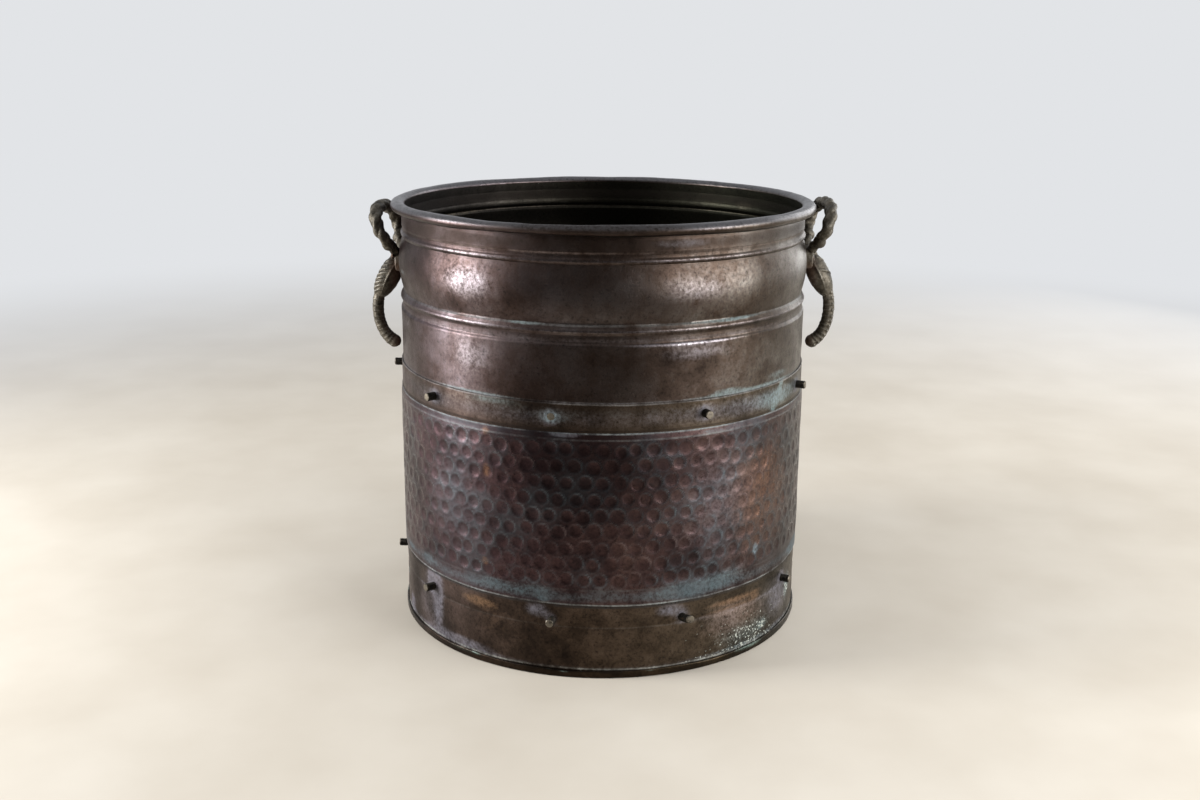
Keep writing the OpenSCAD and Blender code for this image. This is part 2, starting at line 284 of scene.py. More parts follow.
def paint_marks(piece, marks):
    """Stores the marks as a colour on each point: R for worn metal and painted highlight, G verdigris, B
    grime and painted shade, A pale bloom.

    Each mark is its channel, angle, height, width, height of the patch in millimetres, and strength.
    A mark with no angle runs all the way round.
    """
    place, angle, radius = points(piece)
    colour = np.zeros((len(place), 4), np.float32)
    for channel, at, z, width, tall, strength in marks:
        spread = ((place[:, 2] / MM - z) / tall) ** 2 * 4
        if at is not None:
            across = (angle - at + 180) % 360 - 180
            spread = spread + (across * TURN * radius / MM / width) ** 2 * 4
        colour[:, "RGBA".index(channel)] += strength * np.exp(-spread)
    layer = piece.data.color_attributes.new("marks", "FLOAT_COLOR", "POINT")
    layer.data.foreach_set("color", np.clip(colour, 0, 1.5).ravel())


def spread_marks(seed, count, angles, heights, kinds):
    """Marks strewn over a stretch of wall. Each kind is its channel, width, height and strength."""
    draw = random.Random(seed)
    marks = []
    for _ in range(count):
        channel, width, tall, strength = draw.choice(kinds)
        size = draw.uniform(0.5, 1.5)
        at, z = draw.uniform(*angles), draw.uniform(*heights)
        marks.append((channel, at, z, width * size, tall * size, strength))
    return marks


def smooth(piece, degrees=40):
    """Shades the piece smooth, apart from edges sharper than the angle."""
    bpy.ops.object.select_all(action="DESELECT")
    bpy.context.view_layer.objects.active = piece
    piece.select_set(True)
    bpy.ops.object.shade_smooth_by_angle(angle=degrees * TURN)


def hand_in(piece, slot, *nodes):
    """The piece rides on the bucket and stands for its CAD nodes, which are hidden. slot is not used."""
    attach(piece, "root")
    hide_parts(*nodes)


def patinated_copper(tree, tones, wear_and_highlight, verdigris, grime_and_shade="1a1513", bloom="7d777b",
                     grain=14, gloss=0.0, rim=None, flecks=0.0, lines=()):
    """Old copper sheet: metallic, with a brown tarnish that is cloudy, speckled and pitted.

    Worn places are pinker and glossier; laid on lit places they are painted highlight as well as wear.
    Verdigris, bloom and grime are thin, matt and broken up, and grime laid in shade is painted shade too.
    grain is the size of the smaller clouds in mm, and gloss below zero makes it all rougher.
    rim is the height where the rolled rim starts and the colour of its top, a grey that is partly
    painted sheen. flecks is the height up to which the verdigris is flecked. lines are thin rings of
    crust or of painted shadow: the height, half width, colour and cover of each.
    """
    place = add(tree, "TexCoord", output=3)
    marks = add(tree, "Attribute", attribute_name="marks").node
    parts = add(tree, "SeparateColor", {0: marks.outputs[0]}).node
    # Cloudy tarnish, 60 mm and some 10 mm across, under a fine speckle
    cloud = add(tree, "TexNoise", {"Vector": place, "Scale": 1 / 0.06, "Detail": 5.0, "Roughness": 0.6})
    patch = add(tree, "TexNoise", {"Vector": place, "Scale": 1000 / grain, "Detail": 8.0, "Roughness": 0.7})
    fine = add(tree, "TexNoise", {"Vector": place, "Scale": 1 / 0.0022, "Detail": 6.0, "Roughness": 0.75})
    blend = add(tree, "Math", {0: cloud, 1: 0.55}, operation="MULTIPLY")
    blend = add(tree, "Math", {0: patch, 1: 0.45, 2: blend}, operation="MULTIPLY_ADD")
    colour = add(tree, "ValToRGB", {0: blend}, tones)
    sides = add(tree, "SeparateXYZ", {0: place}).node
    up = sides.outputs[2]
    # A little more purple on the left and greener on the right: partly the tarnish, partly a painted tint
    # of the light from each side
    cast = add(tree, "MapRange", {0: sides.outputs[0], 1: -0.13, 2: 0.13, 3: 0.0, 4: 1.0})
    cast = add(tree, "ValToRGB", {0: cast}, [(0.0, "f6ebfa"), (0.45, "fff5ee"), (1.0, "fbfff0")])
    colour = add(tree, "MixRGB", {0: 1.0, 1: colour, 2: cast}, blend_type="MULTIPLY")
    if rim:
        rim_z, rim_top_sheen = rim
        on_rim = add(tree, "MapRange", {0: up, 1: rim_z, 2: rim_z + 1 * MM, 3: 0.0, 4: 1.0})
        # The rim's top is mixed towards grey, partly painted sheen of the light on it
        on_top = add(tree, "MapRange", {0: up, 1: rim_z + 3.8 * MM, 2: rim_z + 5.6 * MM, 3: 0.0, 4: 0.8})
        colour = add(tree, "MixRGB", {0: on_top, 1: colour, 2: paint(rim_top_sheen)})
    speck = add(tree, "ValToRGB", {0: fine}, [(0.3, "787878"), (0.46, "d8d8d8"), (0.7, "ffffff")])
    colour = add(tree, "MixRGB", {0: 1.0, 1: colour, 2: speck}, blend_type="MULTIPLY")
    # Each kind of mark has its own colour and cover, broken up by the patches and the speckle
    breakup = add(tree, "Math", {0: patch, 1: fine}, operation="ADD")
    grit = add(tree, "MapRange", {0: fine, 1: 0.4, 2: 0.6, 3: 0.45, 4: 1.0})
    covers = []
    for source, tint, cover in (
        (parts.outputs[0], wear_and_highlight, 0.8),
        (parts.outputs[2], grime_and_shade, 0.85),
        (marks.outputs[3], bloom, 0.6),
        (parts.outputs[1], verdigris, 0.6),
    ):
        lifted = add(tree, "Math", {0: source, 1: breakup}, operation="MULTIPLY")
        mask = add(tree, "MapRange", {0: lifted, 1: 0.3, 2: 1.0, 3: 0.0, 4: cover}, **SOFT)
        mask = add(tree, "Math", {0: mask, 1: grit}, operation="MULTIPLY")
        colour = add(tree, "MixRGB", {0: mask, 1: colour, 2: paint(tint)})
        covers.append(mask)
    crust = add(tree, "Math", {0: covers[2], 1: covers[3]}, operation="MAXIMUM")
    # Pale flecks in the verdigris
    dots = add(tree, "TexNoise", {"Vector": place, "Scale": 1 / 0.0017, "Detail": 1.0, "Roughness": 0.4})
    wet = add(tree, "MapRange", {0: up, 1: flecks - 10 * MM, 2: flecks, 3: 0.42, 4: 0.0})
    dots = add(tree, "Math", {0: parts.outputs[1], 1: wet, 2: dots}, operation="MULTIPLY_ADD")
    dots = add(tree, "MapRange", {0: dots, 1: 0.85, 2: 0.9, 3: 0.0, 4: 0.75})
    colour = add(tree, "MixRGB", {0: dots, 1: colour, 2: paint("b4b8ae")})
    crust = add(tree, "Math", {0: crust, 1: dots}, operation="MAXIMUM")
    # Thin rings of crust or of painted shadow, which wander a little and break off in places
    for z, half_width, tint, cover in lines:
        drift = add(tree, "Math", {0: cloud, 1: 1.2 * MM, 2: up}, operation="MULTIPLY_ADD")
        gap = add(tree, "Math", {0: drift, 1: z + 0.6 * MM}, operation="SUBTRACT")
        gap = add(tree, "Math", {0: gap}, operation="ABSOLUTE")
        near = add(tree, "MapRange", {0: gap, 1: half_width * 0.4, 2: half_width, 3: cover, 4: 0.0})
        broken = add(tree, "MapRange", {0: blend, 1: 0.42, 2: 0.56, 3: 0.1, 4: 1.0})
        near = add(tree, "Math", {0: near, 1: broken}, operation="MULTIPLY")
        near = add(tree, "Math", {0: near, 1: grit}, operation="MULTIPLY")
        colour = add(tree, "MixRGB", {0: near, 1: colour, 2: paint(tint)})
        crust = add(tree, "Math", {0: crust, 1: near}, operation="MAXIMUM")
    # Tarnish is rough, worn metal and the clean rim less so, and crust and grime, painted shade included,
    # hardly shine
    rough = add(tree, "MapRange", {0: breakup, 1: 0.75, 2: 1.25, 3: 0.44 - gloss, 4: 0.3 - gloss})
    rough = add(tree, "Math", {0: covers[0], 1: -0.1, 2: rough}, operation="MULTIPLY_ADD")
    rough = add(tree, "Math", {0: covers[1], 1: 0.22, 2: rough}, operation="MULTIPLY_ADD")
    if rim:
        dull = add(tree, "Math", {0: covers[1], 1: 0.5, 2: -0.04}, operation="MULTIPLY_ADD")
        rough = add(tree, "Math", {0: on_rim, 1: dull, 2: rough}, operation="MULTIPLY_ADD")
    rough = add(tree, "Math", {0: crust, 1: 0.45, 2: rough}, operation="MULTIPLY_ADD", use_clamp=True)
    metallic = add(tree, "MapRange", {0: crust, 1: 0.0, 2: 0.6, 3: 0.95, 4: 0.4})
    # Pits and raised crust
    pits = add(tree, "MapRange", {0: fine, 1: 0.3, 2: 0.5, 3: 0.0, 4: 1.0})
    height = add(tree, "Math", {0: patch, 1: 0.6, 2: pits}, operation="MULTIPLY_ADD")
    height = add(tree, "Math", {0: crust, 1: 0.8, 2: height}, operation="MULTIPLY_ADD")
    bump = add(tree, "Bump", {"Height": height, "Strength": 0.3, "Distance": 0.12 * MM})
    return add(tree, "BsdfPrincipled", {
        "Base Color": colour, "Metallic": metallic, "Roughness": rough, "Normal": bump})


def aged_copper(tree):
    """Copper sheet, tarnished brown by years of handling, with grey on the rolled rim's top that is partly
    a tinned look and partly painted sheen.
    """
    tones = [(0.34, "241c18"), (0.46, "453a35"), (0.56, "5c5452"), (0.7, "777374")]
    lines = [
        (bulge_bottom - 0.8 * MM, 1.0 * MM, "7f8c8b", 0.2),
        (shoulder_z + 0.4 * MM, 0.9 * MM, "a08c84", 0.25),
        (188.2 * MM, 1.1 * MM, "8c8c8e", 0.35),
    ]
    rim = (rim_top - 6.4 * MM, "767578")
    return patinated_copper(tree, tones, "99949a", "6d7f80", grime_and_shade="251e1a", rim=rim, lines=lines)


def shaded_inside(tree):
    """The inside of the sheet, dark with patina and painted almost black as the shade inside the bucket,
    and matt.
    """
    tones = [(0.3, "1c1b17"), (0.5, "302f29"), (0.7, "45443d")]
    return patinated_copper(tree, tones, "4d463c", "2f3a33", gloss=-0.05)


# Rings close together where the wall is shaped, and further apart where it is plain
wall_heights = [low.z]
while wall_heights[-1] < neck_top - 1.6 * MM:
    z = wall_heights[-1]
    plain = z < channel_bottom - 2 * MM or bulge_bottom + 3 * MM < z < bulge_top - 3 * MM
    wall_heights.append(z + (1.6 if plain else 0.75) * MM)
roll_z = rim_top - roll_h / 2
roll_r = rim_r - roll_w / 2
roll = [
    (roll_r + roll_w / 2 * math.cos(a * TURN), roll_z + roll_h / 2 * math.sin(a * TURN))
    for a in np.arange(180, -116, -11.0)
]
shell_line = [(wall_r(z), z) for z in wall_heights] + roll
upper_shell = raise_sheet("upper_shell", shell_line, SIDES)
hand_dents(upper_shell)
upper_shell.data.materials.append(material("aged_copper", aged_copper))
upper_shell.data.materials.append(material("shaded_inside", shaded_inside))
finish_with(upper_shell, "SOLIDIFY", thickness=SHEET, offset=-1, material_offset=1)
for face in upper_shell.data.polygons:
    # The roll turns the sheet's inner face outwards, and it is as worn as the outside
    if face.center.z > neck_top + 1.5 * MM:
        face.material_index = 0
paint_marks(upper_shell, [
    # Verdigris lies in the grooves over and under the beads
    ("G", None, bulge_bottom / MM - 0.5, 0, 2.2, 0.3), ("G", -20, 237.5, 26, 2.4, 0.8),
    ("G", 35, 237, 50, 2.6, 0.75), ("G", None, shoulder_z / MM + 0.4, 0, 1.4, 0.45),
    # Bloom on the bulge and round the channel
    ("A", 24, 256, 12, 12, 0.6), ("A", None, 228, 0, 5, 0.5),
    # The beads, the bulge and the rim are worn where they stand out; these worn marks sit where the lamps'
    # highlights fall, so they are painted highlight as well as wear
    ("R", None, lower_bead_z / MM, 0, 3, 0.52), ("R", None, upper_bead_z / MM, 0, 3, 0.5),
    ("R", -37, 259, 60, 30, 0.65), ("R", 24, 259, 80, 28, 0.5), ("R", -36, 212, 50, 34, 0.6),
    ("R", 24, 219, 90, 16, 0.55), ("R", 20, channel_bottom / MM, 100, 2, 0.65),
    ("R", -34, rim_top / MM - 2, 60, 4, 0.3), ("R", 26, rim_top / MM - 2, 70, 6, 0.5),
    # Grime under the rim, with painted shade from the rim's overhang; on the rim's front a painted dark
    # reflection; and painted shadow lines below the beads
    ("B", None, neck_top / MM - 5, 0, 11, 0.8), ("B", -45, neck_top / MM - 5, 70, 12, 0.5),
    ("B", -2, rim_top / MM - 1, 150, 7, 1.1), ("B", None, lower_bead_z / MM - 3.2, 0, 2.4, 0.62),
    ("B", None, upper_bead_z / MM - 3.0, 0, 2.0, 0.5),
    # Verdigris along the drum's edge, and bloom on the neck
    ("G", -35, 188, 50, 4, 0.7), ("G", 45, 188, 80, 5, 0.9), ("G", None, 188.3, 0, 2, 0.5),
    ("G", 55, 193.5, 34, 6, 0.8), ("G", 34, 191, 30, 5, 0.8), ("A", 20, 288, 60, 8, 0.6),
] + spread_marks(3, 26, (80, 290), (190, 285), [("G", 22, 3, 0.7), ("R", 40, 14, 0.6), ("B", 30, 12, 0.5)]))
smooth(upper_shell)
hand_in(upper_shell, "aged_copper", "upper_shell")


# ---- Lower drum ------------------------------------------------------------------
# The lower half of the wall is a plain tube of the same sheet. The upper shell slides into it, and
# its upper edge is the ledge above the hammered band. The sheet is puckered round each stud.
stud_names = [f"{row}_stud_{i}" for row in ("upper", "lower") for i in range(1, 10)]
broken_stud = "upper_stud_3"


def stud_place(name):
    """Angle of a stud from the front, and its height."""
    a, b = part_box(name)
    middle = (a + b) / 2
    return math.degrees(math.atan2(middle.x, -middle.y)), middle.z


stud_places = {name: stud_place(name) for name in stud_names}


def pucker(piece, reach, rise):
    """Lifts the sheet a little round every stud."""
    place, angle, radius = points(piece)
    for at, z in stud_places.values():
        across = ((angle - at + 180) % 360 - 180) * TURN * radius
        away = np.hypot(across, place[:, 2] - z) / reach
        place[:, :2] *= (1 + rise * np.exp(-away ** 2) / radius)[:, None]
    set_points(piece, place)


# Rings close together where the drum shows, and far apart behind the sleeve
drum_r = drum_high.x
drum_line = [(drum_r, z) for z in np.arange(drum_low.z, 52 * MM, 1.6 * MM)]
drum_line += [(drum_r, z) for z in np.arange(55 * MM, 166 * MM, 8 * MM)]
drum_line += [(drum_r, z) for z in np.arange(167 * MM, drum_high.z - 1 * MM, 1.6 * MM)]
drum_line += [(drum_r, drum_high.z - 0.3 * MM), (drum_r - 0.3 * MM, drum_high.z)]
# A faint crease runs round the lower band
crease_z = 35.5 * MM
crease_d = 0.3 * MM
drum_line = [(r - crease_d * math.exp(-((z - crease_z) / (1.8 * MM)) ** 2), z) for r, z in drum_line]
# The hammering drove it in behind the sleeve
driven_in = 0.9 * MM
drum_line = [
    (r - driven_in * ease(z, 55 * MM, 63 * MM) * (1 - ease(z, 158 * MM, 166 * MM)), z)
    for r, z in drum_line
]
lower_drum = raise_sheet("lower_drum", drum_line, SIDES)
hand_dents(lower_drum)
pucker(lower_drum, 7 * MM, 0.5 * MM)


def drum_copper(tree):
    """The same copper, olive brown on the lower band, where it has been wet."""
    tones = [(0.34, "201a17"), (0.47, "40372f"), (0.57, "584d44"), (0.7, "70665d")]
    # The near-black ring just under the hammered sheet's lower edge is painted shadow in the gap there
    lines = [(187.6 * MM, 0.7 * MM, "929496", 0.4), (crease_z, 0.8 * MM, "8d8a86", 0.12),
             (5.8 * MM, 0.9 * MM, "a6a8a2", 0.7), (50.6 * MM, 1.4 * MM, "14110f", 0.95)]
    return patinated_copper(tree, tones, "8c7058", "708688", bloom="6f6e79", gloss=-0.05,
                            flecks=48 * MM, lines=lines)


lower_drum.data.materials.append(material("drum_copper", drum_copper))
lower_drum.data.materials.append(bpy.data.materials["shaded_inside"])
finish_with(lower_drum, "SOLIDIFY", thickness=SHEET, offset=-1, material_offset=1)
drum_marks = [
    # Grey-blue and grime between the upper shell's edge and the sleeve's
    ("G", None, 182, 0, 16, 0.38), ("A", None, 178, 0, 20, 0.5), ("G", 55, 176, 60, 14, 0.65),
    ("G", -30, 186, 40, 4, 0.4), ("G", -12, 177, 26, 8, 0.3), ("A", 45, 180, 90, 18, 0.2),
    ("B", None, 170.5, 0, 2.0, 0.9), ("B", -30, 178, 120, 16, 0.45),
    # Grime far round on the left of the lower band, and bloom on its right
    ("B", -66, 30, 30, 60, 1.0), ("A", 38, 30, 80, 44, 0.6),
    # A trickle of verdigris from one edge to the other
    ("G", 56.5, 187, 3.5, 6, 0.9), ("G", 55, 181, 3.5, 8, 0.8), ("G", 53.2, 175, 3.5, 8, 0.8),
    ("G", 52, 170, 4, 5, 0.9),
    # Worn tan places between the lower studs
    ("R", -35, 43.5, 34, 8, 0.72), ("R", 39, 42.6, 42, 4, 0.75), ("R", 38, 36.6, 44, 4, 0.65),
    ("R", 47, 39.6, 9, 6, 0.7),
    # Bloom and drips round the studs, and flecked verdigris low on the right
    ("A", -53, 45, 22, 20, 1.1), ("A", -51, 26, 12, 30, 0.9), ("A", -17, 46, 20, 12, 1.0),
    ("A", 18, 46, 22, 10, 0.9), ("G", 68, 30, 16, 26, 0.8), ("G", 51, 15, 10, 7, 0.35),
    ("G", 46, 14, 80, 22, 0.4), ("G", 40, 22, 100, 34, 0.3), ("A", 62, 28, 50, 44, 0.8),
    ("A", -58, 24, 44, 44, 0.55),
    # Faint wear on both sides, laid where the lamps' reflections fall, so partly painted highlight, and
    # bloom along the foot and the crease
    ("R", -30, 30, 60, 34, 0.4), ("R", 40, 27, 84, 40, 0.66), ("A", -40, 10, 60, 8, 0.9),
    ("G", None, 6.5, 0, 4, 0.35), ("A", None, 6.5, 0, 4, 0.5), ("A", None, crease_z / MM, 0, 1.5, 0.5),
    # Darker under the lap of the hammered sheet, a painted shadow, and darker at the front over the foot
    ("B", None, 50.0, 0, 3, 0.8), ("B", 0, 22, 90, 22, 0.4),
]
drum_marks += [("A", at, z / MM, 9, 9, 0.75) for at, z in stud_places.values()]
broken_at, broken_z = stud_places[broken_stud]
drum_marks += [("G", broken_at, broken_z / MM, 9, 9, 0.4)]
drum_marks += spread_marks(5, 30, (80, 290), (4, 50), [
    ("G", 20, 8, 0.9), ("R", 30, 7, 0.8), ("A", 14, 14, 1.0)])
paint_marks(lower_drum, drum_marks)
smooth(lower_drum)
hand_in(lower_drum, "aged_copper", "lower_drum")


# ---- Hammered sleeve -------------------------------------------------------------
# A separate sheet is wrapped round the drum. It was hammered by hand with a round-faced punch, in
# rows of shallow dents, and its upper and lower margins were left plain. The dents are red-brown,
# and the web between them holds blue-grey verdigris.
low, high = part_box("hammered_sleeve")
sleeve_r = high.x
inner_r = sleeve_r - SHEET
DENTS_ROUND = 82
BEVEL_H = 4.5 * MM
hammered_low = 64 * MM
hammered_high = high.z - BEVEL_H - 1 * MM
most_slip = 1.15
dent_radii = (4.1, 5.1)
dent_depths = (0.1, 0.5)
lip_rise = 0.15 * MM
sleeve_line = [(sleeve_r, z) for z in np.linspace(low.z, high.z - BEVEL_H, 24)]
sleeve_line += [(sleeve_r - 0.5 * MM, high.z)]
sleeve = raise_sheet("hammered_sleeve", sleeve_line, 198)
bpy.ops.object.mode_set(mode="EDIT")
bpy.ops.mesh.select_all(action="SELECT")
bpy.ops.mesh.subdivide(number_cuts=3)
# Only the outside needs such a fine mesh. The inside is one plain face, down from the upper edge
bpy.ops.mesh.select_all(action="DESELECT")
bpy.ops.mesh.select_mode(type="EDGE")
bpy.ops.object.mode_set(mode="OBJECT")
for edge in sleeve.data.edges:
    edge.select = all(abs(sleeve.data.vertices[v].co.z - high.z) < 0.01 * MM for v in edge.vertices)
bpy.ops.object.mode_set(mode="EDIT")
for r0, z0, r1, z1 in (
    (sleeve_r - 0.5 * MM, high.z, inner_r, high.z),
    (inner_r, high.z, inner_r, low.z),
    (inner_r, low.z, sleeve_r, low.z),
):
    bpy.ops.mesh.extrude_edges_move(TRANSFORM_OT_translate={"value": (0, 0, z1 - z0)})
    bpy.ops.transform.resize(value=(r1 / r0, r1 / r0, 1), center_override=(0, 0, z1))
bpy.ops.mesh.select_all(action="SELECT")
bpy.ops.mesh.remove_doubles(threshold=0.02 * MM)
bpy.ops.mesh.normals_make_consistent(inside=False)
bpy.ops.object.mode_set(mode="OBJECT")

outside = sleeve.vertex_groups.new(name="outside")
inside = sleeve.vertex_groups.new(name="inside")
radius = points(sleeve)[2]
outside.add(np.flatnonzero(radius > inner_r + 0.2 * MM).tolist(), 1, "REPLACE")
inside.add(np.flatnonzero(radius <= inner_r + 0.2 * MM).tolist(), 1, "REPLACE")

# Each dent sits in a row, half a step on from the row below, and a little off its place.
# nearest is how far off a point's nearest dent is, as a share of that dent's radius, and lit is how
# far the point lies up and to the right of its middle
row_pitch = 10.8 * MM
rows = int((hammered_high - hammered_low) / row_pitch)
row_pitch = (hammered_high - hammered_low) / rows
dent_pitch = math.tau * sleeve_r / DENTS_ROUND
chance = np.random.default_rng(11)
slip = chance.uniform(-1, 1, (rows, DENTS_ROUND, 2)) * most_slip * MM
dent_r = chance.uniform(*dent_radii, (rows, DENTS_ROUND)) * MM
dent_depth = chance.uniform(*dent_depths, (rows, DENTS_ROUND)) * MM

place, angle, radius = points(sleeve)
outer = np.abs(radius - sleeve_r) < 0.2 * MM
along = (angle % 360) * TURN * sleeve_r
nearest = np.full(len(place), 9.0)
depth = np.zeros(len(place))
lit = np.zeros(len(place))
row_of = np.floor((place[:, 2] - hammered_low) / row_pitch).astype(int)
for row_step in (-1, 0, 1):
    row = np.clip(row_of + row_step, 0, rows - 1)
    column_of = np.round(along / dent_pitch - 0.5 * (row % 2)).astype(int)
    for column_step in (-1, 0, 1):
        column = (column_of + column_step) % DENTS_ROUND
        x = (column_of + column_step + 0.5 * (row % 2)) * dent_pitch + slip[row, column, 0]
        z = hammered_low + (row + 0.5) * row_pitch + slip[row, column, 1]
        away = np.hypot(along - x, place[:, 2] - z) / dent_r[row, column]
        closer = away < nearest
        nearest[closer] = away[closer]
        depth[closer] = dent_depth[row, column][closer]
        lit[closer] = (0.8 * (along - x) + 0.6 * (place[:, 2] - z))[closer] / (5 * MM)
# A dent is a smooth bowl with a low lip round it
bowl = np.clip((1.02 - nearest) / 0.42, 0, 1)
bowl = bowl * bowl * (3 - 2 * bowl) * (1 - 0.25 * nearest ** 2)
lip = np.exp(-((nearest - 1.06) / 0.13) ** 2)
shift = np.where(outer, lip_rise * lip - depth * bowl, 0)
place[:, :2] *= (1 + shift / radius)[:, None]
set_points(sleeve, place)
hand_dents(sleeve, 1, "outside")
hand_dents(sleeve, -1, "inside")
# The lips and the web between the dents have finishes of their own. The lips' share leans to each dent's
# upper right, where the light catches, so what lies on the lips is partly painted highlight
lip *= np.where(outer, 0.3 + 0.7 * np.clip(lit, 0, 1), 0)
web = np.clip((nearest - 0.85) / 0.3, 0, 1)
for name, amount in (("lip", lip), ("web", web)):
    layer = sleeve.data.attributes.new(name, "FLOAT", "POINT")
    layer.data.foreach_set("value", amount.astype(np.float32))


def hammered_copper(tree):
    """Hammered copper, purple-brown to red-brown, with thin blue-grey crust on the dents' lips."""
    tones = [(0.34, "23191a"), (0.46, "3b2d2f"), (0.56, "513f40"), (0.7, "665250")]
    lines = [(169 * MM, 1.1 * MM, "8a9797", 0.55), (164.6 * MM, 0.9 * MM, "7a8685", 0.3),
             (51.9 * MM, 1.0 * MM, "9aa3a1", 0.6), (62.5 * MM, 1.0 * MM, "6f8080", 0.12)]
    surface = patinated_copper(tree, tones, "856450", "4c646a", bloom="56545c", grain=11, lines=lines)
    shader = surface.node
    # On the lips: crust in some places, and rubbed metal in others, whose pale colour is also a painted
    # highlight on the lit side of each dent
    lip = add(tree, "Attribute", attribute_name="lip", output=2)
    place = add(tree, "TexCoord", output=3)
    film = add(tree, "TexNoise", {"Vector": place, "Scale": 1 / 0.035, "Detail": 6.0, "Roughness": 0.65})
    crust = add(tree, "MapRange", {0: film, 1: 0.4, 2: 0.62, 3: 0.1, 4: 0.6}, **SOFT)
    crust = add(tree, "Math", {0: crust, 1: lip}, operation="MULTIPLY")
    marks = add(tree, "Attribute", attribute_name="marks")
    green = add(tree, "SeparateColor", {0: marks}, output=1)
    green = add(tree, "Math", {0: green, 1: 1.8, 2: 0.6}, operation="MULTIPLY_ADD")
    crust = add(tree, "Math", {0: crust, 1: green}, operation="MULTIPLY", use_clamp=True)
    polish_and_glint = add(tree, "MapRange", {0: film, 1: 0.46, 2: 0.32, 3: 0.0, 4: 0.45}, **SOFT)
    polish_and_glint = add(tree, "Math", {0: polish_and_glint, 1: lip}, operation="MULTIPLY")
    # On the web, a thin haze
    web = add(tree, "Attribute", attribute_name="web", output=2)
    web = add(tree, "Math", {0: web, 1: 0.65, 2: 0.35}, operation="MULTIPLY_ADD")
    haze = add(tree, "MapRange", {0: film, 1: 0.42, 2: 0.66, 3: 0.04, 4: 0.55}, **SOFT)
    haze = add(tree, "Math", {0: haze, 1: web}, operation="MULTIPLY")
    dull = add(tree, "Math", {0: marks.node.outputs[3], 1: 1.1, 2: 0.35},
               operation="MULTIPLY_ADD", use_clamp=True)
    haze = add(tree, "Math", {0: haze, 1: dull}, operation="MULTIPLY")
    plain = shader.inputs["Base Color"].links[0].from_socket
    colour = add(tree, "MixRGB", {0: haze, 1: plain, 2: paint("4c545a")})
    colour = add(tree, "MixRGB", {0: polish_and_glint, 1: colour, 2: paint("9a8484")})
    colour = add(tree, "MixRGB", {0: crust, 1: colour, 2: paint("74828c")})
    tree.links.new(colour, shader.inputs["Base Color"])
    rough = add(tree, "Math", {0: lip, 1: -0.22, 2: shader.inputs["Roughness"].links[0].from_socket},
                operation="MULTIPLY_ADD")
    tree.links.new(rough, shader.inputs["Roughness"])
    return surface


sleeve.data.materials.append(material("hammered_copper", hammered_copper))
paint_marks(sleeve, [
    # The plain lower margin is blue-green
    ("G", None, 57, 0, 11, 0.6), ("G", -28, 61, 60, 14, 0.35), ("G", 26, 63, 50, 16, 0.3),
    # Wide haze on both sides, and darker on the left
    ("A", -42, 110, 110, 130, 0.5), ("B", -42, 105, 100, 150, 0.7),
    # Verdigris and grime along the upper edge, and a few spots
    ("G", 30, 166, 40, 5, 0.5), ("B", None, 167, 0, 3, 0.5), ("G", 46, 75, 6, 9, 1.3),
    # The wide verdigris and bloom patches at the end of these marks lighten the lit right side: their own
    # film, and painted sheen
    ("G", -15, 54.5, 6, 3, 1.3), ("A", -9, 168, 22, 4, 1.2), ("G", 24, 110, 80, 100, 0.36),
    ("A", 34, 115, 90, 130, 0.62),
    # Rubbed to bright copper here and there, most of all towards the right, where the wide patch is also
    # painted sheen of the lit side
    ("R", -31, 165, 7, 7, 1.0), ("R", -31, 138, 7, 12, 1.0), ("R", -32, 74, 7, 8, 1.0),
    ("R", 49, 112, 110, 110, 0.7),
] + spread_marks(8, 26, (80, 290), (60, 160), [("R", 8, 12, 0.8), ("R", 50, 40, 0.3), ("G", 20, 16, 0.5)])
  + spread_marks(9, 30, (0, 360), (54, 68), [("G", 20, 8, 0.4)]))
smooth(sleeve, 60)
hand_in(sleeve, "hammered_copper", "hammered_sleeve")


# ---- Base ------------------------------------------------------------------------
# A flat copper disc closes the drum. Its edge is folded up and dressed down tight round the wall,
# and stands up a little unevenly. It is dull and dark from years on damp ground.
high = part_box("base_disc")[1]
hem_r = high.x
hem_in_r = hem_r - 1.4 * MM
hem_top = high.z
base_t = 1 * MM
fold_r = 0.7 * MM
fold = [
    (hem_r - fold_r + fold_r * math.cos(a * TURN), hem_top - fold_r + fold_r * math.sin(a * TURN))
    for a in range(0, 181, 30)
]
base_line = [(r * MM, 0) for r in (8, 40, 80, 120, 140)] + [(hem_r - 0.6 * MM, 0), (hem_r, 0.6 * MM)]
base_line += [(hem_r, 2 * MM), (hem_r, 3.2 * MM)] + fold + [(hem_in_r, base_t)]
base_line += [(r * MM, base_t) for r in (140, 120, 80, 40, 8)]
base = raise_sheet("base_disc", base_line, SIDES, capped=True)
place, angle = points(base)[:2]
wave = 0.3 * MM * np.sin(7 * angle * TURN) + 0.2 * MM * np.sin(19 * angle * TURN + 1)
place[:, 2] += np.where(place[:, 2] > 3 * MM, wave, 0)
set_points(base, place)


def base_copper(tree):
    """Dull dark copper sheet, with a little green where damp has stood."""
    tones = [(0.34, "17140f"), (0.5, "332b22"), (0.7, "5a4d3f")]
    return patinated_copper(tree, tones, "8c7c6e", "748a82")


base.data.materials.append(material("base_copper", base_copper))
paint_marks(base, [
    ("R", None, hem_top / MM, 0, 1.6, 0.35), ("G", 45, 4, 40, 4, 0.8), ("G", -40, 4, 60, 4, 0.5),
] + spread_marks(4, 18, (-180, 180), (4, 5), [("G", 12, 1.5, 0.8), ("B", 20, 2, 0.9)]))
smooth(base)
hand_in(base, "base_copper", "base_disc")


